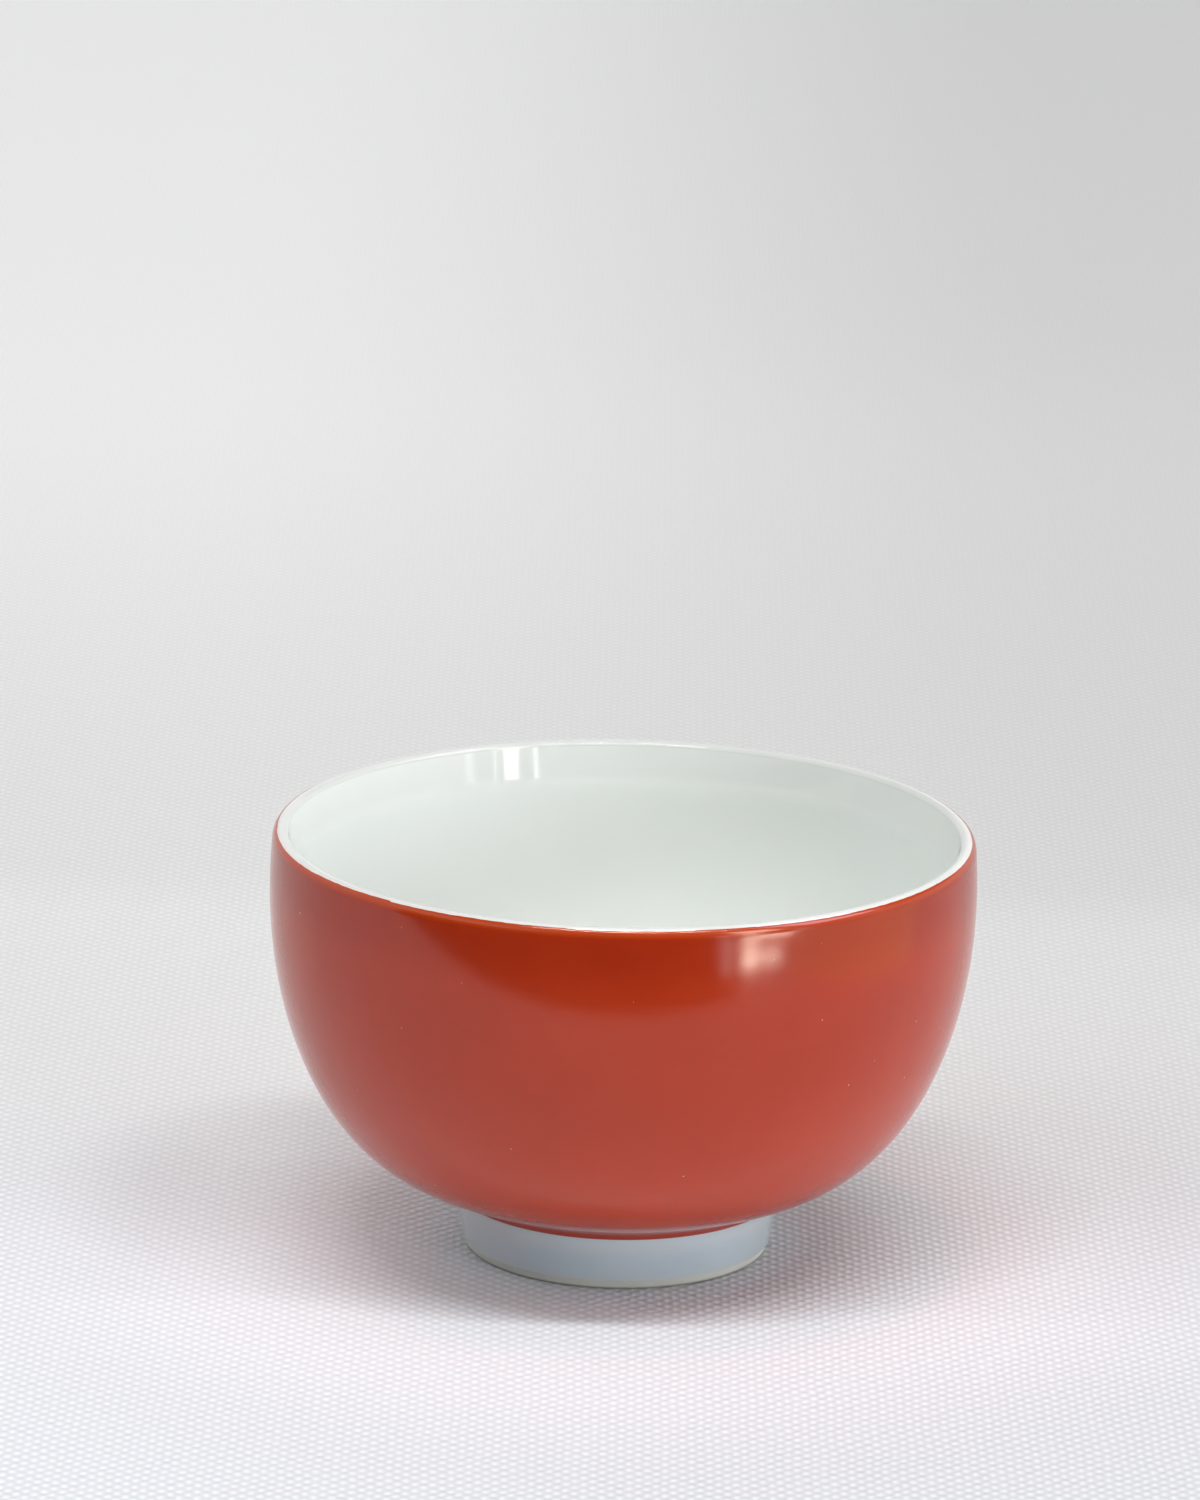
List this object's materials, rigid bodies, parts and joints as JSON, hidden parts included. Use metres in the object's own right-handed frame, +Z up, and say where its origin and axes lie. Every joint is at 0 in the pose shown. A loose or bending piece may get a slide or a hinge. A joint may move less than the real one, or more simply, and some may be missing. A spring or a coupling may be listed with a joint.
{
  "type": "tea cup",
  "caption": "Handleless porcelain tea cup: a round bowl on a ring foot, red enamel outside, pale glazed inside and a bare white lip.",
  "frame": {"origin": "centre of the foot ring, on the plane the cup stands on", "axes": "+Z up along the cup's axis, from the foot to the lip; -Y towards the picture's camera, +X to its right"},
  "size_m": [0.09, 0.09, 0.055],
  "materials": {
    "biscuit": "matte",
    "celadon_glaze": "gloss",
    "lip_glaze": "gloss",
    "foot_glaze": "gloss",
    "red_enamel": "gloss"
  },
  "bodies": {
    "root": {"porcelain_bowl": "biscuit", "foot_ring": "biscuit", "inside_glaze": "celadon_glaze", "lip_glaze": "lip_glaze", "outside_glaze": "celadon_glaze", "foot_glaze": "foot_glaze", "recess_glaze": "foot_glaze", "red_enamel": "red_enamel"}
  },
  "joints": []
}
